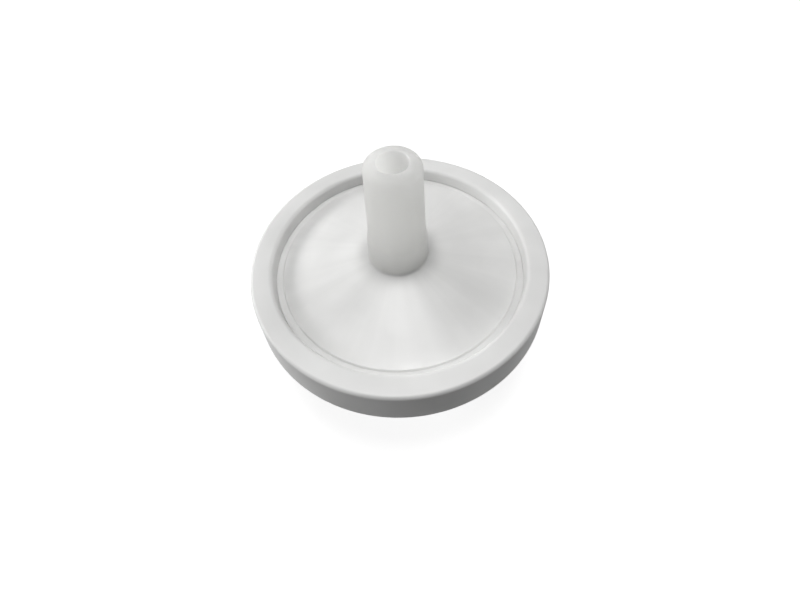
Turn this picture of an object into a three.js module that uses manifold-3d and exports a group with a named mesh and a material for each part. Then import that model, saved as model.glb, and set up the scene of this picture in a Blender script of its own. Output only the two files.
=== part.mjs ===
// A disc syringe filter: two moulded housings clamp a round membrane, and a rim moulded over their
// edges locks them together. The outlet is a plain male Luer cone on top, the inlet a female Luer
// socket with two locking lugs underneath.
// Millimetres, +Z up. The origin is the centre of the inlet's end face, on which the filter stands.
import * as THREE from "three";
import { mergeVertices, toCreasedNormals } from "three/addons/utils/BufferGeometryUtils.js";
import Module from "manifold-3d";

const wasm = await Module();
wasm.setup();

// ---- Driving dimensions ---------------------------------------------------------------------

// Facets round every turned surface, and round every quarter of a rounded edge.
const ROUND_FACETS = 60;
const EDGE_FACETS = 4;

// Pieces that are fused or pressed together in the real filter stay this far apart.
const FUSED_GAP = 0.02;

// Rim, moulded over both housings: outer radius and wall at its lower edge, how far its outside
// leans in towards the top, how far its two lips reach in over the housings' flanges, the depth
// of each lip, how far a lip's wall leans out, and its rounded edges. The mould opens at the
// lower edge, which is nearly sharp.
const RIM_RADIUS = 12;
const RIM_WALL = 1;
const RIM_DRAFT = 0.14;
const RIM_LIP_REACH = 2;
const OUTLET_LIP_DEPTH = 1.1;
const INLET_LIP_DEPTH = 0.5;
const RIM_LIP_SLOPE = 0.1;
const RIM_TOP_EDGE = 0.3;
const RIM_BOTTOM_EDGE = 0.15;
const RIM_INNER_EDGE = 0.35;

// Degrees that the rounding of a lip's inner edge turns through before the sloping wall.
const RIM_INNER_EDGE_TURN = 82;

// Housings' flanges and the flat land that the rim's mould shuts off against.
const INLET_FLANGE = 0.7;
const OUTLET_FLANGE = 0.72;
const LAND_WIDTH = 0.5;
const FACE_STEP = 0.14;
const FACE_STEP_RUN = 0.1;

// Membrane: thickness, play round its edge in its pocket, the pocket's own rim, and the width
// of membrane that the flanges clamp.
const MEMBRANE_THICKNESS = 0.15;
const MEMBRANE_PLAY = 0.2;
const POCKET_RIM = 0.8;
const CLAMP_WIDTH = 0.7;

// Shallow chambers on both sides of the membrane: depth at their edge, and the angle of their
// conical walls in degrees.
const OUTLET_CHANNEL = 0.2;
const INLET_CHANNEL = 0.2;
const OUTLET_CONE_ANGLE = 11.7;
const INLET_CONE_ANGLE = 7;

// Both Luer fittings taper by 6 in 100 on the diameter.
const LUER_TAPER = 0.06;

// Male Luer outlet: radius and wall at the tip, length of the cone, tip edges, and the plain
// boss that the cone stands on, with a sloping shoulder where it ends.
const TIP_RADIUS = 1.98;
const TIP_WALL = 0.88;
const TIP_EDGE = 0.6;
const TIP_MOUTH_CHAMFER = 0.08;
const CONE_LENGTH = 6.8;
const BOSS_HEIGHT = 2.5;
const BOSS_STEP = 0.09;
const BOSS_SHOULDER = 0.3;
const BOSS_DRAFT = 0.08;
const BOSS_FILLET = 0.2;
const OUTLET_BORE_DRAFT = 0.25;
const OUTLET_BORE_FLARE = 0.3;

// Female Luer inlet: radius at the mouth, depth, hub wall, and the port into the chamber.
const SOCKET_RADIUS = 2.15;
const SOCKET_DEPTH = 8;
const SOCKET_CHAMFER = 0.1;
const PORT_RADIUS = 1;
const PORT_LENGTH = 0.8;
const HUB_WALL = 1.2;
const HUB_EDGE = 0.15;
const HUB_DRAFT = 0.1;
const HUB_FILLET = 0.5;

// Two lugs on the hub for a locking collar: reach beyond the hub, width across, thickness at
// root and crest, and distance from the end face.
const LUG_REACH = 0.55;
const LUG_WIDTH = 3.4;
const LUG_ROOT = 1;
const LUG_CREST = 0.5;
const LUG_SETBACK = 0.2;

// Ribs inside the chambers. The outlet's hold the membrane up, every second one short to keep
// the middle open. The inlet's spread the flow and stay clear of the membrane.
const RIB_WIDTH = 0.5;
const RIB_ROOT = 0.3;
const RIB_END_GAP = 0.3;
const OUTLET_RIBS = 24;
const OUTLET_RIB_START = 2;
const OUTLET_SHORT_RIB_START = 4.6;
const INLET_RIBS = 12;
const INLET_RIB_START = 2.8;
const INLET_RIB_CLEARANCE = 0.1;

// Edges that turn by more degrees than this are drawn sharp, and points closer together than
// this are one point.
const CREASE_ANGLE = 25;
const SAME_POINT = 1e-4;

// Surfaces: colour and roughness of each plastic and of the membrane.
const MILKY_POLYPROPYLENE = { color: 0xdcdcdb, roughness: 0.42 };
const WHITE_OVERMOULD = { color: 0xe6e6e5, roughness: 0.5 };
const CAST_MEMBRANE = { color: 0xf4f3ef, roughness: 0.9 };

// ---- Radii and heights worked out from them ---------------------------------------------------

const flangeRadius = RIM_RADIUS - RIM_WALL;
const lipRadius = RIM_RADIUS - RIM_LIP_REACH;
const faceRadius = lipRadius - LAND_WIDTH;
const pocketRadius = flangeRadius - POCKET_RIM;
const membraneRadius = pocketRadius - MEMBRANE_PLAY;
const chamberRadius = membraneRadius - CLAMP_WIDTH;

const outletSlope = Math.tan(THREE.MathUtils.degToRad(OUTLET_CONE_ANGLE));
const inletSlope = Math.tan(THREE.MathUtils.degToRad(INLET_CONE_ANGLE));

const chamberFloor = SOCKET_DEPTH + PORT_LENGTH;
const chamberFloorAt = (radius) => chamberFloor + (radius - PORT_RADIUS) * inletSlope;
const chamberFloorEdge = chamberFloorAt(chamberRadius);
const pocketFloor = chamberFloorEdge + INLET_CHANNEL;
const membraneBottom = pocketFloor + FUSED_GAP;
const membraneTop = membraneBottom + MEMBRANE_THICKNESS;
const outletFlangeBottom = membraneTop + FUSED_GAP;
const inletLand = pocketFloor - INLET_FLANGE;
const outletLand = outletFlangeBottom + OUTLET_FLANGE;
const rimBottom = inletLand - FUSED_GAP - INLET_LIP_DEPTH;
const rimTop = outletLand + FUSED_GAP + OUTLET_LIP_DEPTH;

// Height of the outlet's conical face, of the chamber's roof under it, and of the inlet's
// conical face, at a given radius.
const outletFace = (radius) => outletLand + FACE_STEP + (faceRadius - radius) * outletSlope;
const chamberRoof = (radius) =>
  outletFlangeBottom + OUTLET_CHANNEL + (chamberRadius - radius) * outletSlope;
const inletFace = (radius) => inletLand - FACE_STEP - (faceRadius - radius) * inletSlope;

const coneBaseRadius = TIP_RADIUS + (CONE_LENGTH * LUER_TAPER) / 2;
const bossRadius = coneBaseRadius + BOSS_STEP;
const bossBottom = outletFace(bossRadius + BOSS_DRAFT);
const bossTop = bossBottom + BOSS_HEIGHT;
const tipHeight = bossTop + CONE_LENGTH;
const boreRadius = TIP_RADIUS - TIP_WALL;
const hubRadius = SOCKET_RADIUS + HUB_WALL;
const socketEndRadius = SOCKET_RADIUS - (SOCKET_DEPTH * LUER_TAPER) / 2;

// ---- Shape helpers ----------------------------------------------------------------------------

const point = (radius, height) => new THREE.Vector2(radius, height);

// Points on a rounded edge, from one angle to another in degrees.
function arc(centreRadius, centreHeight, edge, fromAngle, toAngle) {
  const points = [];
  for (let i = 0; i <= EDGE_FACETS; i++) {
    const angle = THREE.MathUtils.degToRad(THREE.MathUtils.lerp(fromAngle, toAngle, i / EDGE_FACETS));
    points.push(point(centreRadius + edge * Math.cos(angle), centreHeight + edge * Math.sin(angle)));
  }
  return points;
}

// A section in (radius, height), listed anticlockwise, turned round the Z axis. It closes on
// itself, unless it starts and ends on the axis.
function turned(section) {
  const outline = section[0].x > 0 ? [...section, section[0].clone()] : section;
  return new THREE.LatheGeometry(outline, ROUND_FACETS).rotateX(Math.PI / 2);
}

// A section in (radius, height) given a width across, standing at an angle round the Z axis.
function plate(section, width, azimuth) {
  const geometry = new THREE.ExtrudeGeometry(new THREE.Shape(section), {
    depth: width,
    bevelEnabled: false,
  });
  return geometry
    .translate(0, 0, -width / 2)
    .rotateX(Math.PI / 2)
    .rotateZ(azimuth);
}

// A closed geometry as a solid that can be joined and cut, and back again.
function solidOf(geometry) {
  const bare = geometry.clone();
  bare.deleteAttribute("normal");
  bare.deleteAttribute("uv");
  const merged = mergeVertices(bare, SAME_POINT);
  return new wasm.Manifold(
    new wasm.Mesh({
      numProp: 3,
      vertProperties: merged.attributes.position.array,
      triVerts: new Uint32Array(merged.index.array),
    }),
  );
}

function geometryOf(solid) {
  const mesh = solid.getMesh();
  const geometry = new THREE.BufferGeometry();
  geometry.setAttribute("position", new THREE.BufferAttribute(mesh.vertProperties, mesh.numProp));
  geometry.setIndex(new THREE.BufferAttribute(mesh.triVerts, 1));
  return geometry;
}

// Evenly spaced radial ribs, joined to a housing. Each rib's section comes from its number.
function withRibs(housing, count, sectionOf) {
  let solid = housing;
  for (let i = 0; i < count; i++) {
    const rib = plate(sectionOf(i), RIB_WIDTH, (2 * Math.PI * i) / count);
    solid = solid.add(solidOf(rib));
  }
  return solid;
}

// ---- Pieces -----------------------------------------------------------------------------------

// Ring with a C-shaped section: both lips wrap over the housings' flanges.
function rimRing() {
  const inner = lipRadius + RIM_LIP_SLOPE + RIM_INNER_EDGE;
  const grooveRadius = flangeRadius + FUSED_GAP;
  const topRadius = RIM_RADIUS - RIM_DRAFT;
  const section = [
    ...arc(RIM_RADIUS - RIM_BOTTOM_EDGE, rimBottom + RIM_BOTTOM_EDGE, RIM_BOTTOM_EDGE, -90, 0),
    ...arc(topRadius - RIM_TOP_EDGE, rimTop - RIM_TOP_EDGE, RIM_TOP_EDGE, 0, 90),
    ...arc(inner, rimTop - RIM_INNER_EDGE, RIM_INNER_EDGE, 90, 90 + RIM_INNER_EDGE_TURN),
    point(lipRadius, outletLand + FUSED_GAP),
    point(grooveRadius, outletLand + FUSED_GAP),
    point(grooveRadius, inletLand - FUSED_GAP),
    point(lipRadius, inletLand - FUSED_GAP),
    ...arc(inner, rimBottom + RIM_INNER_EDGE, RIM_INNER_EDGE, 270 - RIM_INNER_EDGE_TURN, 270),
  ];
  return turned(section);
}

// Flange, conical face and male Luer outlet, with a ribbed chamber underneath.
function outletHousing() {
  const filletRadius = bossRadius + BOSS_DRAFT + BOSS_FILLET;
  const boreBase = boreRadius + OUTLET_BORE_DRAFT;
  const flareRadius = boreBase + OUTLET_BORE_FLARE;
  const section = [
    point(chamberRadius, outletFlangeBottom),
    point(flangeRadius, outletFlangeBottom),
    point(flangeRadius, outletLand),
    point(faceRadius, outletLand),
    point(faceRadius - FACE_STEP_RUN, outletFace(faceRadius - FACE_STEP_RUN)),
    ...arc(filletRadius, outletFace(filletRadius) + BOSS_FILLET, BOSS_FILLET, 270, 180),
    point(bossRadius, bossTop - BOSS_SHOULDER),
    point(coneBaseRadius, bossTop),
    ...arc(TIP_RADIUS - TIP_EDGE, tipHeight - TIP_EDGE, TIP_EDGE, 0, 90),
    point(boreRadius + TIP_MOUTH_CHAMFER, tipHeight),
    point(boreRadius, tipHeight - TIP_MOUTH_CHAMFER),
    point(boreBase, chamberRoof(boreBase) + OUTLET_BORE_FLARE),
    point(flareRadius, chamberRoof(flareRadius)),
    point(chamberRadius, chamberRoof(chamberRadius)),
  ];
  const ribEnd = chamberRadius - RIB_END_GAP;
  return geometryOf(
    withRibs(solidOf(turned(section)), OUTLET_RIBS, (i) => {
      const start = i % 2 ? OUTLET_SHORT_RIB_START : OUTLET_RIB_START;
      return [
        point(start, outletFlangeBottom),
        point(ribEnd, outletFlangeBottom),
        point(ribEnd, chamberRoof(ribEnd) + RIB_ROOT),
        point(start, chamberRoof(start) + RIB_ROOT),
      ];
    }),
  );
}

// Lugs: a ring of their section, rooted in the middle of the hub's wall and cut to two arcs by
// a slab as wide as the lugs are across, which is longer and taller than the ring.
function lugs() {
  const root = hubRadius - HUB_WALL / 2;
  const crest = hubRadius + LUG_REACH;
  const top = LUG_SETBACK + LUG_ROOT;
  const ring = turned([
    point(root, LUG_SETBACK),
    point(crest, LUG_SETBACK),
    point(crest, LUG_SETBACK + LUG_CREST),
    point(hubRadius, top),
    point(root, top),
  ]);
  const slabEnd = crest + LUG_REACH;
  const slabTop = top + LUG_SETBACK;
  const slab = plate(
    [
      point(-slabEnd, 0),
      point(slabEnd, 0),
      point(slabEnd, slabTop),
      point(-slabEnd, slabTop),
    ],
    LUG_WIDTH,
    0,
  );
  return solidOf(ring).intersect(solidOf(slab));
}

// Flange with the membrane's pocket, conical face, hub with the female Luer socket and lugs.
function inletHousing() {
  const hubTopRadius = hubRadius + HUB_DRAFT;
  const filletRadius = hubTopRadius + HUB_FILLET;
  const section = [
    point(SOCKET_RADIUS + SOCKET_CHAMFER, 0),
    point(hubRadius - HUB_EDGE, 0),
    point(hubRadius, HUB_EDGE),
    ...arc(filletRadius, inletFace(filletRadius) - HUB_FILLET, HUB_FILLET, 180, 90),
    point(faceRadius - FACE_STEP_RUN, inletFace(faceRadius - FACE_STEP_RUN)),
    point(faceRadius, inletLand),
    point(flangeRadius, inletLand),
    point(flangeRadius, membraneTop),
    point(pocketRadius, membraneTop),
    point(pocketRadius, pocketFloor),
    point(chamberRadius, pocketFloor),
    point(chamberRadius, chamberFloorEdge),
    point(PORT_RADIUS, chamberFloor),
    point(PORT_RADIUS, SOCKET_DEPTH),
    point(socketEndRadius, SOCKET_DEPTH),
    point(SOCKET_RADIUS, SOCKET_CHAMFER),
  ];
  const ribTop = pocketFloor - INLET_RIB_CLEARANCE;
  const ribEnd = chamberRadius - RIB_END_GAP;
  return geometryOf(
    withRibs(solidOf(turned(section)).add(lugs()), INLET_RIBS, () => [
      point(INLET_RIB_START, chamberFloorAt(INLET_RIB_START) - RIB_ROOT),
      point(ribEnd, chamberFloorAt(ribEnd) - RIB_ROOT),
      point(ribEnd, ribTop),
      point(INLET_RIB_START, ribTop),
    ]),
  );
}

// Flat disc in the inlet housing's pocket.
function membrane() {
  return turned([
    point(0, membraneBottom),
    point(membraneRadius, membraneBottom),
    point(membraneRadius, membraneTop),
    point(0, membraneTop),
  ]);
}

// ---- Assembly ---------------------------------------------------------------------------------

const filter = new THREE.Group();

function addPiece(name, geometry, surface) {
  const smooth = toCreasedNormals(geometry, THREE.MathUtils.degToRad(CREASE_ANGLE));
  const mesh = new THREE.Mesh(smooth, new THREE.MeshStandardMaterial(surface));
  mesh.name = name;
  filter.add(mesh);
}

addPiece("inlet_housing", inletHousing(), MILKY_POLYPROPYLENE);
addPiece("membrane", membrane(), CAST_MEMBRANE);
addPiece("outlet_housing", outletHousing(), MILKY_POLYPROPYLENE);
addPiece("rim_ring", rimRing(), WHITE_OVERMOULD);

export default filter;
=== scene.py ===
# %% [markdown]
# # A disc syringe filter
#
# Two milky polypropylene mouldings hold a thin round membrane between them, and a white ring
# moulded over their edges locks them together. The filter stands on its inlet, with the outlet
# cone on top. Every piece here is round, so most of this lesson is about turning a section round
# an axis, and about plastic that lets some light in.

# %% Load the fixed frame
import math

import bmesh
import bpy
from mathutils import Matrix, Vector


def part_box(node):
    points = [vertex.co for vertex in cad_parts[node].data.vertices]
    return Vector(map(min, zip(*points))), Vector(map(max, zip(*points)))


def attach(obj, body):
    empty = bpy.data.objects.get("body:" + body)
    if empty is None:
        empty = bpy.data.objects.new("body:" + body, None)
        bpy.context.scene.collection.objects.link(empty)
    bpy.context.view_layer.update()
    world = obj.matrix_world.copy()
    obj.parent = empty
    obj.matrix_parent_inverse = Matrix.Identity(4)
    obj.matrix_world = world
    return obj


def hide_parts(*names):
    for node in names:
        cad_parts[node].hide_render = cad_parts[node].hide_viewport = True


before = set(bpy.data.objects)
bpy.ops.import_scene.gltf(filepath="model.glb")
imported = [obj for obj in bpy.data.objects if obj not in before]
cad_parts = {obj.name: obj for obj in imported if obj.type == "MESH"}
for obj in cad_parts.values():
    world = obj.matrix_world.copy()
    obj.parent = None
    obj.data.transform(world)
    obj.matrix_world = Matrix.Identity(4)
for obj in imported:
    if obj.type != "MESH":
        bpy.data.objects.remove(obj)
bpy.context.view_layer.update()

MM = 0.001
print("nodes in the frame:", ", ".join(sorted(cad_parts)))

# %% [markdown]
# ## Sizes
#
# Heights and radii that the frame knows are read from its boxes, so the pieces can't drift away
# from it. What lies inside a box, such as the depth of a lip, is a named size in millimetres.

# %% Sizes read from the frame
rim_low, rim_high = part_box("rim_ring")
outlet_low, outlet_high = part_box("outlet_housing")
membrane_low, membrane_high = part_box("membrane")
flange_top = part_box("inlet_housing")[1].z

rim_radius, rim_bottom, rim_top = rim_high.x, rim_low.z, rim_high.z
flange_radius, outlet_base, tip_height = outlet_high.x, outlet_low.z, outlet_high.z
membrane_radius = membrane_high.x
print(f"disc {rim_radius * 2 / MM:.1f} mm across, {tip_height / MM:.2f} mm high")

# %% Sizes inside the boxes
fused_gap = 0.02 * MM

lip_reach = 2 * MM
outlet_lip_depth = 1.1 * MM
inlet_lip_depth = 0.5 * MM
lip_slope = 0.14 * MM
rim_draft = 0.14 * MM
rim_top_edge = 0.3 * MM
rim_bottom_edge = 0.15 * MM
rim_inner_edge = 0.35 * MM
shut_off_edge = 0.04 * MM
step_edge = 0.06 * MM
flange_edge = 0.05 * MM
chamber_edge = 0.05 * MM
fine_edge = 0.03 * MM

land_width = 0.5 * MM
face_step = 0.14 * MM
face_step_run = 0.1 * MM
outlet_slope = math.tan(math.radians(11.7))
inlet_slope = math.tan(math.radians(7))
chamber_depth = 0.2 * MM
clamp_width = 0.7 * MM
pocket_rim = 0.8 * MM
luer_taper = 0.06

rib_count = 12
rib_width = 0.5 * MM
rib_root = 0.3 * MM
rib_end_gap = 0.3 * MM

lip_radius = rim_radius - lip_reach
face_radius = lip_radius - land_width
chamber_radius = membrane_radius - clamp_width
outlet_land = rim_top - outlet_lip_depth - fused_gap
inlet_land = rim_bottom + inlet_lip_depth + fused_gap
membrane_base, membrane_top = membrane_low.z, membrane_high.z
pocket_floor = membrane_base - fused_gap
print(f"outlet land at {outlet_land / MM:.3f} mm, membrane at {membrane_base / MM:.3f} mm")

# %% [markdown]
# ## One way to add a node
#
# Shader trees and Geometry Nodes trees are built in the same way: a kind of node, its settings,
# and what goes into each of its sockets, which is either a value or another node's output. The
# shader that a new material starts with is already there, so its sockets are filled on their own.

# %% Fill a node's sockets, and add a node with its settings and links
def fill_sockets(tree, node, inputs):
    for socket, value in inputs.items():
        if isinstance(value, bpy.types.NodeSocket):
            tree.links.new(value, node.inputs[socket])
        else:
            node.inputs[socket].default_value = value


def add_node(tree, kind, inputs=None, **settings):
    node = tree.nodes.new(kind)
    for name, value in settings.items():
        setattr(node, name, value)
    fill_sockets(tree, node, inputs or {})
    return node


# %% [markdown]
# ## Sections with rounded corners
#
# A moulded edge is never sharp, and its small radius is what catches the light. Each corner of a
# section is given with its own rounding, and this turns the corner into an arc. A bevel modifier
# could round them too, but it would give every edge the same radius. Two arcs on one edge have to
# fit on it, and the script stops if they don't, because shrinking one would change the shape.

# %% Round the corners of a section
ARC_STEPS = 8
ROUNDING_ERROR = 1.001


def rounded(corners):
    """corners is a list of (radius, height, rounding), and the section closes on itself."""
    points, reaches, lengths = [], [], []
    for i, (r, z, rounding) in enumerate(corners):
        corner = Vector((r, z))
        before = Vector(corners[i - 1][:2]) - corner
        after = Vector(corners[(i + 1) % len(corners)][:2]) - corner
        half_angle = before.angle(after) / 2
        reach = rounding / math.tan(half_angle)
        reaches.append(reach)
        lengths.append(after.length)
        if rounding == 0:
            points.append(corner)
            continue
        start, end = corner + before.normalized() * reach, corner + after.normalized() * reach
        middle = (before.normalized() + after.normalized()).normalized()
        centre = corner + middle * (reach / math.cos(half_angle))
        from_centre, to_centre = start - centre, end - centre
        turn = from_centre.angle_signed(to_centre)
        for step in range(ARC_STEPS + 1):
            angle = -turn * step / ARC_STEPS
            points.append(centre + Matrix.Rotation(angle, 2) @ from_centre)
    for i, length in enumerate(lengths):
        if reaches[i] + reaches[(i + 1) % len(reaches)] > length * ROUNDING_ERROR:
            raise ValueError(f"the arcs at corners {i} and {i + 1} don't fit on their edge")
    return points


# %% [markdown]
# ## Turning a section round the axis
#
# Lathes, moulds and dies all make round parts from a section, so the tree does the same. A grid
# has one column of points for each step round the axis. Each point looks up its place in the
# section by its row, and turns by its column. The last row is the first one again, which closes
# the section, unless the section starts and ends on the axis. A Screw modifier would do it as
# well, but here the rule can be read from the nodes.

# %% Start a tree with its named inputs
def start_tree(name, inputs):
    tree = bpy.data.node_groups.new(name, "GeometryNodeTree")
    for label, kind in inputs.items():
        tree.interface.new_socket(label, in_out="INPUT", socket_type=f"NodeSocket{kind}")
    tree.interface.new_socket("Piece", in_out="OUTPUT", socket_type="NodeSocketGeometry")
    return tree, add_node(tree, "NodeGroupInput").outputs


# %% Build the tree that turns a section
SEAM_GAP = 0.001 * MM


def turning_tree():
    inputs = {
        "Section": "Geometry",
        "Section points": "Int",
        "Rows": "Int",
        "Steps round": "Int",
        "Plastic": "Material",
    }
    tree, given = start_tree("turned_section", inputs)
    rows = given["Rows"]
    columns = add_node(
        tree, "ShaderNodeMath", {0: given["Steps round"], 1: 1.0}, operation="ADD"
    ).outputs[0]
    grid = add_node(
        tree, "GeometryNodeMeshGrid", {"Vertices X": columns, "Vertices Y": rows}
    )
    index = add_node(tree, "GeometryNodeInputIndex").outputs[0]
    whole = add_node(tree, "ShaderNodeMath", {0: index, 1: rows}, operation="DIVIDE").outputs[0]
    column = add_node(tree, "ShaderNodeMath", {0: whole}, operation="FLOOR").outputs[0]
    row = add_node(tree, "ShaderNodeMath", {0: index, 1: rows}, operation="MODULO").outputs[0]
    row_in_section = add_node(
        tree, "ShaderNodeMath", {0: row, 1: given["Section points"]}, operation="MODULO"
    ).outputs[0]
    place = add_node(
        tree,
        "GeometryNodeSampleIndex",
        {
            "Geometry": given["Section"],
            "Value": add_node(tree, "GeometryNodeInputPosition").outputs[0],
            "Index": row_in_section,
        },
        data_type="FLOAT_VECTOR",
        domain="POINT",
    ).outputs["Value"]
    share = add_node(
        tree, "ShaderNodeMath", {0: column, 1: given["Steps round"]}, operation="DIVIDE"
    ).outputs[0]
    angle = add_node(
        tree, "ShaderNodeMath", {0: share, 1: math.tau}, operation="MULTIPLY"
    ).outputs[0]
    turned = add_node(
        tree,
        "ShaderNodeVectorRotate",
        {"Vector": place, "Angle": angle},
        rotation_type="Z_AXIS",
    ).outputs[0]
    shaped = add_node(
        tree, "GeometryNodeSetPosition", {"Geometry": grid.outputs["Mesh"], "Position": turned}
    ).outputs[0]
    closed = add_node(
        tree, "GeometryNodeMergeByDistance", {"Geometry": shaped, "Distance": SEAM_GAP}
    ).outputs[0]
    realized = add_node(tree, "GeometryNodeRealizeInstances", {"Geometry": closed}).outputs[0]
    finished = add_node(
        tree, "GeometryNodeSetMaterial", {"Geometry": realized, "Material": given["Plastic"]}
    ).outputs[0]
    add_node(tree, "NodeGroupOutput", {"Piece": finished})
    return tree


turning = turning_tree()
print("turning tree has", len(turning.nodes), "nodes")

# %% [markdown]
# ## Ribs round an axis
#
# Both chambers have radial ribs, which repeat evenly. One rib is a plate whose top runs along the
# chamber's sloping wall and a little into it. The tree puts a copy at every step round the axis
# and joins them to the housing, so that the housing stays one closed body.

# %% Build the tree that adds ribs
def rib_tree():
    inputs = {
        "Housing": "Geometry",
        "Count": "Int",
        "First angle": "Float",
        "Start radius": "Float",
        "End radius": "Float",
        "Width": "Float",
        "Flat edge": "Float",
        "Wall at axis": "Float",
        "Wall slope": "Float",
        "Plastic": "Material",
    }
    tree, given = start_tree("radial_ribs", inputs)
    cube = add_node(tree, "GeometryNodeMeshCube", {"Size": (1, 1, 1)}).outputs["Mesh"]
    corner = add_node(
        tree,
        "ShaderNodeSeparateXYZ",
        {0: add_node(tree, "GeometryNodeInputPosition").outputs[0]},
    ).outputs
    along = add_node(tree, "ShaderNodeMath", {0: corner["X"], 1: 0.5}, operation="ADD").outputs[0]
    span = add_node(
        tree,
        "ShaderNodeMath",
        {0: given["End radius"], 1: given["Start radius"]},
        operation="SUBTRACT",
    ).outputs[0]
    radius = add_node(
        tree,
        "ShaderNodeMath",
        {0: along, 1: span, 2: given["Start radius"]},
        operation="MULTIPLY_ADD",
    ).outputs[0]
    across = add_node(
        tree, "ShaderNodeMath", {0: corner["Y"], 1: given["Width"]}, operation="MULTIPLY"
    ).outputs[0]
    wall = add_node(
        tree,
        "ShaderNodeMath",
        {0: radius, 1: given["Wall slope"], 2: given["Wall at axis"]},
        operation="MULTIPLY_ADD",
    ).outputs[0]
    upper = add_node(tree, "ShaderNodeMath", {0: corner["Z"], 1: 0.5}, operation="ADD").outputs[0]
    rise = add_node(
        tree, "ShaderNodeMath", {0: wall, 1: given["Flat edge"]}, operation="SUBTRACT"
    ).outputs[0]
    height = add_node(
        tree,
        "ShaderNodeMath",
        {0: upper, 1: rise, 2: given["Flat edge"]},
        operation="MULTIPLY_ADD",
    ).outputs[0]
    place = add_node(
        tree, "ShaderNodeCombineXYZ", {"X": radius, "Y": across, "Z": height}
    ).outputs[0]
    rib = add_node(
        tree, "GeometryNodeSetPosition", {"Geometry": cube, "Position": place}
    ).outputs[0]
    centres = add_node(tree, "GeometryNodePoints", {"Count": given["Count"]}).outputs[0]
    step = add_node(
        tree, "ShaderNodeMath", {0: math.tau, 1: given["Count"]}, operation="DIVIDE"
    ).outputs[0]
    angle = add_node(
        tree,
        "ShaderNodeMath",
        {
            0: add_node(tree, "GeometryNodeInputIndex").outputs[0],
            1: step,
            2: given["First angle"],
        },
        operation="MULTIPLY_ADD",
    ).outputs[0]
    copies = add_node(
        tree,
        "GeometryNodeInstanceOnPoints",
        {
            "Points": centres,
            "Instance": rib,
            "Rotation": add_node(tree, "ShaderNodeCombineXYZ", {"Z": angle}).outputs[0],
        },
    ).outputs[0]
    ribs = add_node(tree, "GeometryNodeRealizeInstances", {"Geometry": copies}).outputs[0]
    joined = add_node(tree, "GeometryNodeMeshBoolean", operation="UNION", solver="EXACT")
    tree.links.new(given["Housing"], joined.inputs["Mesh 2"])
    tree.links.new(ribs, joined.inputs["Mesh 2"])
    finished = add_node(
        tree,
        "GeometryNodeSetMaterial",
        {"Geometry": joined.outputs["Mesh"], "Material": given["Plastic"]},
    ).outputs[0]
    add_node(tree, "NodeGroupOutput", {"Piece": finished})
    return tree


rib_adding = rib_tree()
print("rib tree has", len(rib_adding.nodes), "nodes")

# %% [markdown]
# ## From trees to plain meshes
#
# A modifier's inputs are known by identifiers, which the tree's interface lists. When all of a
# piece's modifiers are set, the evaluated result is copied to a plain mesh.

# %% Put an object in the scene
def add_object(name, data):
    placed = bpy.data.objects.new(name, data)
    bpy.context.scene.collection.objects.link(placed)
    return placed


# %% Give an object a tree and its values
def give_tree(piece, tree, values):
    modifier = piece.modifiers.new(tree.name, "NODES")
    modifier.node_group = tree
    for socket in tree.interface.items_tree:
        if socket.in_out == "INPUT" and socket.name in values:
            modifier[socket.identifier] = values[socket.name]
    return piece


# %% Start a piece from its section
STEPS_ROUND = 240


def section_object(name, section, plastic):
    mesh = bpy.data.meshes.new(name)
    mesh.from_pydata([(p.x, 0, p.y) for p in section], [], [])
    piece = add_object(name, mesh)
    meets_axis = section[0].x == 0
    values = {
        "Section points": len(section),
        "Rows": len(section) if meets_axis else len(section) + 1,
        "Steps round": STEPS_ROUND,
        "Plastic": plastic,
    }
    return give_tree(piece, turning, values)


# %% Make the evaluated result a plain, closed, outward-facing mesh
CREASE = math.radians(28)
WELD_GAP = 0.0005 * MM


def settle(draft, name, plastic):
    evaluated = draft.evaluated_get(bpy.context.evaluated_depsgraph_get())
    mesh = bpy.data.meshes.new_from_object(evaluated)
    mesh.name = name
    bpy.data.objects.remove(draft)
    mesh.materials.clear()
    mesh.materials.append(plastic)
    shape = bmesh.new()
    shape.from_mesh(mesh)
    bmesh.ops.remove_doubles(shape, verts=shape.verts, dist=WELD_GAP)
    bmesh.ops.dissolve_degenerate(shape, edges=shape.edges, dist=WELD_GAP)
    if shape.calc_volume(signed=True) < 0:
        bmesh.ops.reverse_faces(shape, faces=shape.faces)
    for face in shape.faces:
        face.smooth = True
        face.material_index = 0
    for edge in shape.edges:
        edge.smooth = edge.calc_face_angle(math.pi) < CREASE
    open_edges = sum(1 for edge in shape.edges if len(edge.link_faces) != 2)
    volume = shape.calc_volume() / MM**3
    shape.to_mesh(mesh)
    shape.free()
    piece = add_object(name, mesh)
    triangles = sum(len(p.vertices) - 2 for p in mesh.polygons)
    print(f"{name}: {triangles} triangles, {volume:.1f} cubic mm, {open_edges} open edges")
    return piece


# %% [markdown]
# ## Starting a material
#
# Every material begins with places on the object itself, so its pattern stays with the piece when
# it is posed or exported. Colours are written as sRGB codes, the way a colour picker shows them,
# and shaders need them linear.

# %% Start a material, and give a colour ramp its stops
def start_material(name):
    material = bpy.data.materials.new(name)
    material.use_nodes = True
    tree = material.node_tree
    return material, tree, add_node(tree, "ShaderNodeTexCoord").outputs["Object"]


def colour(hex_code):
    channels = [int(hex_code[i : i + 2], 16) / 255 for i in (1, 3, 5)]
    linear = [c / 12.92 if c <= 0.04045 else ((c + 0.055) / 1.055) ** 2.4 for c in channels]
    return (*linear, 1)


def set_stops(ramp, *stops):
    for element, (position, hex_code) in zip(ramp.color_ramp.elements, stops):
        element.position, element.color = position, colour(hex_code)


POLYPROPYLENE_IOR = 1.49
EVEN_SCATTER = (1.0, 1.0, 1.0)

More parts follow.
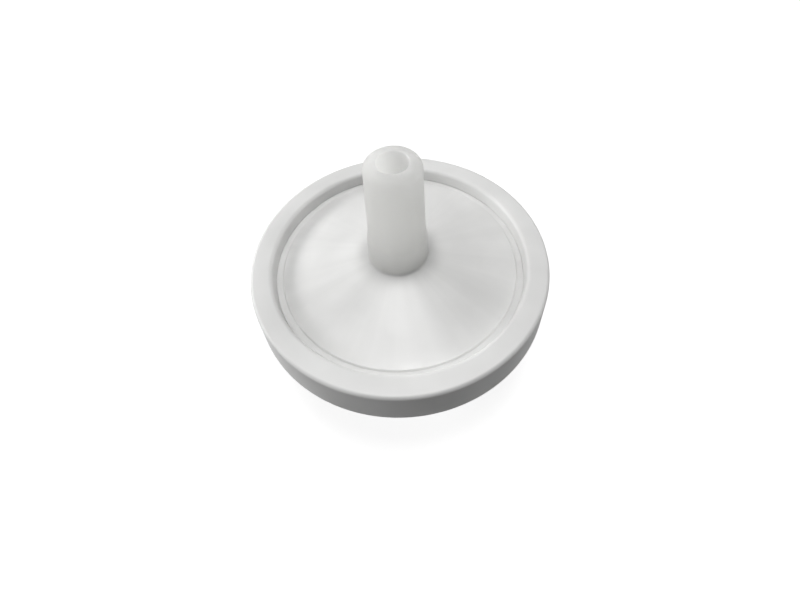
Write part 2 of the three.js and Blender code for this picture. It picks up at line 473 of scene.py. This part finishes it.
# %% [markdown]
# ## Milky polypropylene
#
# Natural polypropylene has no pigment. Its tiny crystals scatter light, so it looks milky and has
# a soft satin skin from the mould. Two things happen to light in it. Where other plastic lies close
# behind, as under the face, light comes back out about half a millimetre away, which is subsurface
# scattering. Where air lies behind, as around the outlet and the inlet's hub, much of it goes right
# through, so the tube glows with whatever light is on its other side. A Translucent shader does
# that, mixed in by height, and less of it inside the bore, which only gets light that has crossed
# the whole wall. A slow cloudiness and faint flow lines, which run out from the middle as the
# plastic did when it filled the mould, keep it from looking painted.

# %% Natural polypropylene, injection moulded
def natural_polypropylene():
    material, tree, place = start_material("natural_polypropylene_moulded")
    shader = tree.nodes["Principled BSDF"]

    # Crystals grow in patches a few millimetres across, too faint to have an edge.
    clouds = add_node(
        tree, "ShaderNodeTexNoise", {"Vector": place, "Scale": 1 / (3 * MM), "Detail": 2.0}
    ).outputs["Fac"]

    # A direction from the axis, stretched along the radius, makes streaks that point outwards.
    flat = add_node(
        tree, "ShaderNodeVectorMath", {0: place, 1: (1, 1, 0)}, operation="MULTIPLY"
    ).outputs[0]
    outward = add_node(tree, "ShaderNodeVectorMath", {0: flat}, operation="NORMALIZE").outputs[0]
    streaks = add_node(
        tree, "ShaderNodeTexNoise", {"Vector": outward, "Scale": 5.0, "Detail": 2.0}
    ).outputs["Fac"]

    mottle = add_node(
        tree, "ShaderNodeMath", {0: clouds, 1: streaks}, operation="MULTIPLY"
    ).outputs[0]
    tone = add_node(tree, "ShaderNodeValToRGB", {"Fac": mottle})
    set_stops(tone, (0.12, "#DEDEDD"), (0.4, "#E5E5E4"))

    # The mould's polish is never quite even.
    satin = add_node(
        tree,
        "ShaderNodeMapRange",
        {"Value": clouds, "From Min": 0.3, "From Max": 0.7, "To Min": 0.34, "To Max": 0.46},
    ).outputs[0]
    grain = add_node(
        tree, "ShaderNodeTexNoise", {"Vector": place, "Scale": 1 / (0.18 * MM), "Detail": 3.0}
    ).outputs["Fac"]
    bump = add_node(
        tree, "ShaderNodeBump", {"Strength": 0.12, "Distance": 0.01 * MM, "Height": grain}
    ).outputs[0]
    fill_sockets(
        tree,
        shader,
        {
            "Base Color": tone.outputs[0],
            "Roughness": satin,
            "Normal": bump,
            "IOR": POLYPROPYLENE_IOR,
            "Subsurface Weight": 1.0,
            "Subsurface Radius": EVEN_SCATTER,
            "Subsurface Scale": 0.5 * MM,
        },
    )

    # Only the free-standing tube and hub have air behind them, above the face and below the disc.
    # The hub's wall is the thicker one, so less light crosses it.
    height = add_node(tree, "ShaderNodeSeparateXYZ", {0: place}).outputs["Z"]
    tube_glow, hub_glow = 0.85, 0.55
    above, below = [
        add_node(
            tree,
            "ShaderNodeMapRange",
            {"Value": height, "From Min": start, "From Max": end, "To Max": most},
            interpolation_type="SMOOTHSTEP",
        ).outputs[0]
        for start, end, most in (
            (rim_top + 0.2 * MM, rim_top + 1.0 * MM, tube_glow),
            (rim_bottom - 0.3 * MM, rim_bottom - 1.8 * MM, hub_glow),
        )
    ]
    free = add_node(tree, "ShaderNodeMath", {0: above, 1: below}, operation="ADD").outputs[0]
    radius = add_node(tree, "ShaderNodeVectorMath", {0: flat}, operation="LENGTH").outputs["Value"]
    outside_bore = add_node(
        tree,
        "ShaderNodeMapRange",
        {"Value": radius, "From Min": 1.4 * MM, "From Max": 1.7 * MM, "To Min": 0.7},
    ).outputs[0]
    share = add_node(
        tree, "ShaderNodeMath", {0: free, 1: outside_bore}, operation="MULTIPLY"
    ).outputs[0]
    glow = add_node(
        tree, "ShaderNodeBsdfTranslucent", {"Color": colour("#FCFCFB"), "Normal": bump}
    ).outputs[0]
    plastic = add_node(
        tree, "ShaderNodeMixShader", {0: share, 1: shader.outputs[0], 2: glow}
    ).outputs[0]
    tree.links.new(plastic, tree.nodes["Material Output"].inputs["Surface"])
    return material


milky_plastic = natural_polypropylene()

# %% [markdown]
# ## White overmould
#
# The ring is moulded over the housings in a plastic with white pigment, which makes it much less
# translucent than they are. Only its thin edges still glow a little.

# %% White polypropylene, moulded over the housings
def white_overmould():
    material, tree, place = start_material("white_polypropylene_overmoulded")
    patches = add_node(
        tree, "ShaderNodeTexNoise", {"Vector": place, "Scale": 1 / (4 * MM), "Detail": 2.0}
    ).outputs["Fac"]
    tone = add_node(tree, "ShaderNodeValToRGB", {"Fac": patches})
    set_stops(tone, (0.35, "#DDDDDC"), (0.65, "#E2E2E1"))
    satin = add_node(
        tree,
        "ShaderNodeMapRange",
        {"Value": patches, "From Min": 0.3, "From Max": 0.7, "To Min": 0.42, "To Max": 0.52},
    ).outputs[0]
    grain = add_node(
        tree, "ShaderNodeTexNoise", {"Vector": place, "Scale": 1 / (0.2 * MM), "Detail": 3.0}
    ).outputs["Fac"]
    bump = add_node(
        tree, "ShaderNodeBump", {"Strength": 0.15, "Distance": 0.01 * MM, "Height": grain}
    ).outputs[0]
    fill_sockets(
        tree,
        tree.nodes["Principled BSDF"],
        {
            "Base Color": tone.outputs[0],
            "Roughness": satin,
            "Normal": bump,
            "IOR": POLYPROPYLENE_IOR,
            "Subsurface Weight": 0.2,
            "Subsurface Radius": EVEN_SCATTER,
            "Subsurface Scale": 0.25 * MM,
        },
    )
    return material


white_plastic = white_overmould()

# %% [markdown]
# ## Filter membrane
#
# The membrane is a cast sheet full of pores far below a micrometre. They can't be seen one by
# one, but together they make it perfectly matt and white. The grain here is much coarser than
# the pores, as it has to be to show at all.

# %% Cast microporous membrane
def cast_membrane():
    material, tree, place = start_material("microporous_membrane_cast")
    pores = add_node(
        tree, "ShaderNodeTexNoise", {"Vector": place, "Scale": 1 / (0.08 * MM), "Detail": 4.0}
    ).outputs["Fac"]
    tone = add_node(tree, "ShaderNodeValToRGB", {"Fac": pores})
    set_stops(tone, (0.3, "#EFEEEB"), (0.7, "#F7F6F4"))
    bump = add_node(
        tree, "ShaderNodeBump", {"Strength": 0.4, "Distance": 0.02 * MM, "Height": pores}
    ).outputs[0]
    fill_sockets(
        tree,
        tree.nodes["Principled BSDF"],
        {
            "Base Color": tone.outputs[0],
            "Normal": bump,
            "Roughness": 0.92,
            "Specular IOR Level": 0.25,
        },
    )
    return material


membrane_sheet = cast_membrane()
print("materials:", ", ".join(m.name for m in (milky_plastic, white_plastic, membrane_sheet)))

# %% [markdown]
# ## The overmoulded rim
#
# The ring's section is a C that grips both flanges. Its outside leans in a little towards the top,
# so that it leaves the mould, which opens at the lower edge. That edge is nearly sharp, and the
# upper one is rounded. The lips are steep steps down to the housings, where the mould shut off
# against a flat land. The upper lip is the deeper one, so the face lies well below the rim.

# %% Make the rim
def make_rim():
    lip_top = lip_radius + lip_slope
    groove = flange_radius + fused_gap
    corners = [
        (rim_radius, rim_bottom, rim_bottom_edge),
        (rim_radius - rim_draft, rim_top, rim_top_edge),
        (lip_top, rim_top, rim_inner_edge),
        (lip_radius, outlet_land + fused_gap, shut_off_edge),
        (groove, outlet_land + fused_gap, 0),
        (groove, inlet_land - fused_gap, 0),
        (lip_radius, inlet_land - fused_gap, shut_off_edge),
        (lip_top, rim_bottom, rim_inner_edge),
    ]
    return settle(
        section_object("rim_draft", rounded(corners), white_plastic), "rim_overmould", white_plastic
    )


rim = make_rim()

# %% [markdown]
# ## The outlet housing
#
# From the flange inwards the face rises as a shallow cone, to a boss that carries the outlet.
# The outlet is a Luer cone, which narrows by six parts in a hundred, with a well rounded tip and
# a bore through it. Inside, ribs hold the membrane up so that liquid can flow under the face.

# %% Sizes of the outlet
tip_radius = 1.98 * MM
tip_wall = 0.88 * MM
tip_edge = 0.6 * MM
tip_mouth_edge = 0.1 * MM
cone_length = 6.8 * MM
boss_step = 0.09 * MM
boss_shoulder = 0.3 * MM
boss_draft = 0.08 * MM
boss_fillet = 0.2 * MM
boss_edge = 0.5 * MM
bore_draft = 0.25 * MM
bore_flare = 0.3 * MM
bore_flare_edge = 0.15 * MM
long_rib_start = 2 * MM
short_rib_start = 4.6 * MM
print(f"tip {tip_radius * 2 / MM:.2f} mm across, its wall {tip_wall / MM:.2f} mm thick")


def outlet_face(radius):
    return outlet_land + face_step + (face_radius - radius) * outlet_slope


def chamber_roof(radius):
    return outlet_base + chamber_depth + (chamber_radius - radius) * outlet_slope


# %% Make the outlet housing
def make_outlet_housing():
    cone_base = tip_radius + cone_length * luer_taper / 2
    boss_top_radius = cone_base + boss_step
    boss_base_radius = boss_top_radius + boss_draft
    boss_top = tip_height - cone_length
    bore = tip_radius - tip_wall
    bore_base = bore + bore_draft
    flare = bore_base + bore_flare
    step_end = face_radius - face_step_run
    corners = [
        (chamber_radius, outlet_base, 0),
        (flange_radius, outlet_base, 0),
        (flange_radius, outlet_land, flange_edge),
        (face_radius, outlet_land, shut_off_edge),
        (step_end, outlet_face(step_end), step_edge),
        (boss_base_radius, outlet_face(boss_base_radius), boss_fillet),
        (boss_top_radius, boss_top - boss_shoulder, boss_edge),
        (cone_base, boss_top, boss_edge),
        (tip_radius, tip_height, tip_edge),
        (bore, tip_height, tip_mouth_edge),
        (bore_base, chamber_roof(bore_base) + bore_flare, bore_flare_edge),
        (flare, chamber_roof(flare), chamber_edge),
        (chamber_radius, chamber_roof(chamber_radius), 0),
    ]
    draft = section_object("outlet_draft", rounded(corners), milky_plastic)
    between = math.tau / rib_count / 2
    for start, first_angle in ((long_rib_start, 0.0), (short_rib_start, between)):
        give_tree(
            draft,
            rib_adding,
            {
                "Count": rib_count,
                "First angle": first_angle,
                "Start radius": start,
                "End radius": chamber_radius - rib_end_gap,
                "Width": rib_width,
                "Flat edge": outlet_base,
                "Wall at axis": chamber_roof(0) + rib_root,
                "Wall slope": -outlet_slope,
                "Plastic": milky_plastic,
            },
        )
    return settle(draft, "outlet_moulding", milky_plastic)


outlet = make_outlet_housing()

# %% [markdown]
# ## The inlet housing
#
# Underneath, a hub holds the female Luer socket that a syringe pushes into. Two lugs on the hub
# turn into the thread of the syringe's collar. The flange above has the pocket for the membrane.

# %% Sizes of the inlet
socket_radius = 2.15 * MM
socket_depth = 8 * MM
port_radius = 1 * MM
port_length = 0.8 * MM
port_edge = 0.1 * MM
hub_wall = 1.2 * MM
hub_draft = 0.1 * MM
hub_fillet = 0.5 * MM
hub_edge = 0.15 * MM
socket_edge = 0.1 * MM
hub_radius = socket_radius + hub_wall
lug_reach = 0.55 * MM
lug_width = 3.4 * MM
lug_root = 1 * MM
lug_crest = 0.5 * MM
lug_setback = 0.2 * MM
lug_edge = 0.08 * MM
lug_crest_edge = 0.1 * MM
lug_root_edge = 0.05 * MM
inlet_rib_start = 2.8 * MM
inlet_rib_dip = 0.1 * MM
chamber_floor = socket_depth + port_length
lug_tips = (hub_radius + lug_reach) * 2 / MM
print(f"hub {hub_radius * 2 / MM:.1f} mm across, {lug_tips:.1f} mm over the lugs")


def inlet_face(radius):
    return inlet_land - face_step - (face_radius - radius) * inlet_slope


def floor_at(radius):
    return chamber_floor + (radius - port_radius) * inlet_slope


# %% Make the lugs, each a curved plate as wide all along
LUG_STEPS = 24


def lug_object(name, turn):
    root = hub_radius - hub_wall / 2
    crest = hub_radius + lug_reach
    top = lug_setback + lug_root
    section = rounded(
        [
            (root, lug_setback, 0),
            (crest, lug_setback, lug_edge),
            (crest, lug_setback + lug_crest, lug_crest_edge),
            (hub_radius, top, lug_root_edge),
            (root, top, 0),
        ]
    )
    shape = bmesh.new()
    rings = []
    for step in range(LUG_STEPS + 1):
        across = lug_width * (step / LUG_STEPS - 0.5)
        rings.append(
            [shape.verts.new((math.sqrt(p.x**2 - across**2), across, p.y)) for p in section]
        )
    count = len(section)
    for here, there in zip(rings, rings[1:]):
        for i in range(count):
            j = (i + 1) % count
            shape.faces.new((here[i], here[j], there[j], there[i]))
    shape.faces.new(reversed(rings[0]))
    shape.faces.new(rings[-1])
    bmesh.ops.rotate(shape, verts=shape.verts, matrix=Matrix.Rotation(turn, 3, "Z"))
    bmesh.ops.recalc_face_normals(shape, faces=shape.faces)
    mesh = bpy.data.meshes.new(name)
    shape.to_mesh(mesh)
    shape.free()
    return add_object(name, mesh)


# %% Make the inlet housing
def make_inlet_housing():
    hub_top = hub_radius + hub_draft
    socket_end = socket_radius - socket_depth * luer_taper / 2
    step_end = face_radius - face_step_run
    pocket_radius = flange_radius - pocket_rim
    corners = [
        (socket_radius, 0, socket_edge),
        (hub_radius, 0, hub_edge),
        (hub_top, inlet_face(hub_top), hub_fillet),
        (step_end, inlet_face(step_end), step_edge),
        (face_radius, inlet_land, shut_off_edge),
        (flange_radius, inlet_land, flange_edge),
        (flange_radius, flange_top, fine_edge),
        (pocket_radius, flange_top, fine_edge),
        (pocket_radius, pocket_floor, fine_edge),
        (chamber_radius, pocket_floor, chamber_edge),
        (chamber_radius, floor_at(chamber_radius), chamber_edge),
        (port_radius, chamber_floor, port_edge),
        (port_radius, socket_depth, fine_edge),
        (socket_end, socket_depth, fine_edge),
    ]
    draft = section_object("inlet_draft", rounded(corners), milky_plastic)
    give_tree(
        draft,
        rib_adding,
        {
            "Count": rib_count,
            "First angle": 0.0,
            "Start radius": inlet_rib_start,
            "End radius": chamber_radius - rib_end_gap,
            "Width": rib_width,
            "Flat edge": pocket_floor - inlet_rib_dip,
            "Wall at axis": floor_at(0) - rib_root,
            "Wall slope": inlet_slope,
            "Plastic": milky_plastic,
        },
    )
    lugs = [lug_object(f"lug_{i}", math.pi * i) for i in range(2)]
    for lug in lugs:
        union = draft.modifiers.new(lug.name, "BOOLEAN")
        union.object, union.operation, union.solver = lug, "UNION", "EXACT"
    piece = settle(draft, "inlet_moulding", milky_plastic)
    for lug in lugs:
        bpy.data.objects.remove(lug)
    return piece


inlet = make_inlet_housing()

# %% [markdown]
# ## The membrane
#
# A plain disc, 0.15 mm thick, which lies in its pocket and is never seen from outside. A cylinder
# would do, but a section gives its edges the same kind of small rounding as all the others.

# %% Make the membrane
def make_membrane():
    corners = [
        (0, membrane_base, 0),
        (membrane_radius, membrane_base, fine_edge),
        (membrane_radius, membrane_top, fine_edge),
        (0, membrane_top, 0),
    ]
    draft = section_object("membrane_draft", rounded(corners), membrane_sheet)
    return settle(draft, "membrane_disc", membrane_sheet)


disc = make_membrane()

# %% [markdown]
# ## Onto the frame
#
# Nothing moves, so every piece rides on the one body. Each stands for its own CAD node, which is
# hidden.

# %% Tie the pieces to the frame
for piece, node, slot in (
    (rim, "rim_ring", "white_overmould"),
    (outlet, "outlet_housing", "natural_polypropylene"),
    (inlet, "inlet_housing", "natural_polypropylene"),
    (disc, "membrane", "filter_membrane"),
):
    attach(piece, "root")
    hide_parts(node)
print("pieces:", ", ".join(o.name for o in (rim, outlet, inlet, disc)))

# %% [markdown]
# ## Floor
#
# The floor is white to the eye and keeps a faint shadow, but sends little light back up, as a
# table some way below a soft box does. Light Path tells the two apart. Away from the filter, where
# the lamps don't reach and no shadow falls, it becomes plain white, so no horizon shows.

# %% White floor with a soft shadow
def grey(level):
    return (level, level, level, 1)


def make_floor():
    material, tree, place = start_material("white_studio_floor")
    tree.nodes.remove(tree.nodes["Principled BSDF"])
    light_path = add_node(tree, "ShaderNodeLightPath").outputs
    seen = light_path["Is Camera Ray"]
    for ray in ("Is Glossy Ray", "Is Transmission Ray"):
        seen = add_node(
            tree, "ShaderNodeMath", {0: seen, 1: light_path[ray]}, operation="MAXIMUM"
        ).outputs[0]
    away = add_node(tree, "ShaderNodeVectorMath", {0: place}, operation="LENGTH").outputs["Value"]
    whiteness = add_node(
        tree,
        "ShaderNodeMapRange",
        {"Value": away, "From Min": 0.06, "From Max": 0.3, "To Min": 0.84, "To Max": 1.0},
    ).outputs[0]
    shaded = add_node(tree, "ShaderNodeBsdfDiffuse", {"Color": grey(0.3)}).outputs[0]
    white = add_node(
        tree, "ShaderNodeEmission", {"Color": grey(1), "Strength": whiteness}
    ).outputs[0]
    to_the_eye = add_node(tree, "ShaderNodeAddShader", {0: shaded, 1: white}).outputs[0]
    bounce = add_node(tree, "ShaderNodeBsdfDiffuse", {"Color": grey(0.12)}).outputs[0]
    mixed = add_node(tree, "ShaderNodeMixShader", {0: seen, 1: bounce, 2: to_the_eye}).outputs[0]
    tree.links.new(mixed, tree.nodes["Material Output"].inputs["Surface"])
    reach = 3.0
    corners = [(-reach, -reach, 0), (reach, -reach, 0), (reach, reach, 0), (-reach, reach, 0)]
    mesh = bpy.data.meshes.new("studio_floor")
    mesh.from_pydata(corners, [], [(0, 1, 2, 3)])
    mesh.materials.append(material)
    floor = add_object("studio_floor", mesh)
    print("floor reaches", reach, "m from the middle")


make_floor()

# %% [markdown]
# ## Light
#
# A soft box overhead lights the top faces evenly and leaves the rim's side in shade. A wide strip
# low on the left throws the rim's soft shadow onto the face, and the outlet's to the right, and
# shines through the milky tube. A weaker box on the right keeps the far side from going grey. The
# world adds a little fill, and shows white wherever the floor ends.

# %% Soft boxes and world
disc_centre = Vector((0, 0, rim_top))


def soft_box(name, offset, size, watts):
    lamp = bpy.data.lights.new(name, "AREA")
    lamp.shape, lamp.energy = "RECTANGLE", watts
    lamp.size, lamp.size_y = size
    box = add_object(name, lamp)
    box.location = disc_centre + Vector(offset)
    box.rotation_euler = (-Vector(offset)).to_track_quat("-Z", "Y").to_euler()
    print(f"{name}: {watts} W, {Vector(offset).length:.2f} m away")


soft_box("overhead_soft_box", offset=(0.0, 0.0, 0.3), size=(0.11, 0.11), watts=0.59)
soft_box("left_strip_box", offset=(-0.27, 0.098, 0.088), size=(0.35, 0.08), watts=0.77)
soft_box("right_soft_box", offset=(0.22, 0.138, 0.15), size=(0.14, 0.14), watts=0.17)


def studio_world():
    world = bpy.data.worlds.new("studio_world")
    world.use_nodes = True
    bpy.context.scene.world = world
    tree = world.node_tree
    seen = add_node(tree, "ShaderNodeLightPath").outputs["Is Camera Ray"]
    fill = 0.04
    strength = add_node(
        tree, "ShaderNodeMapRange", {"Value": seen, "To Min": fill, "To Max": 1.0}
    ).outputs[0]
    fill_sockets(tree, tree.nodes["Background"], {"Strength": strength, "Color": grey(1)})
    print("world fill", fill)


studio_world()

# %% [markdown]
# ## Camera
#
# A short lens close to the filter, looking down at it, held slightly tilted.

# %% Camera
camera_data = bpy.data.cameras.new("camera")
camera_data.lens, camera_data.sensor_width = 21.4, 36.0
camera_data.shift_x, camera_data.shift_y = 0.0019, -0.0561
camera = add_object("camera", camera_data)
elevation, distance, tilt = math.radians(52.4), 38.2 * MM, math.radians(-3.9)
offset = Vector((0, -math.cos(elevation), math.sin(elevation))) * distance
aim = (-offset).to_track_quat("-Z", "Y").to_matrix() @ Matrix.Rotation(tilt, 3, "Z")
camera.matrix_world = Matrix.Translation(disc_centre + offset) @ aim.to_4x4()
camera_data.clip_start = 1 * MM
bpy.context.scene.camera = camera
bpy.context.scene.view_settings.view_transform = "Standard"
print(f"camera {distance / MM:.1f} mm from the middle of the rim's top")
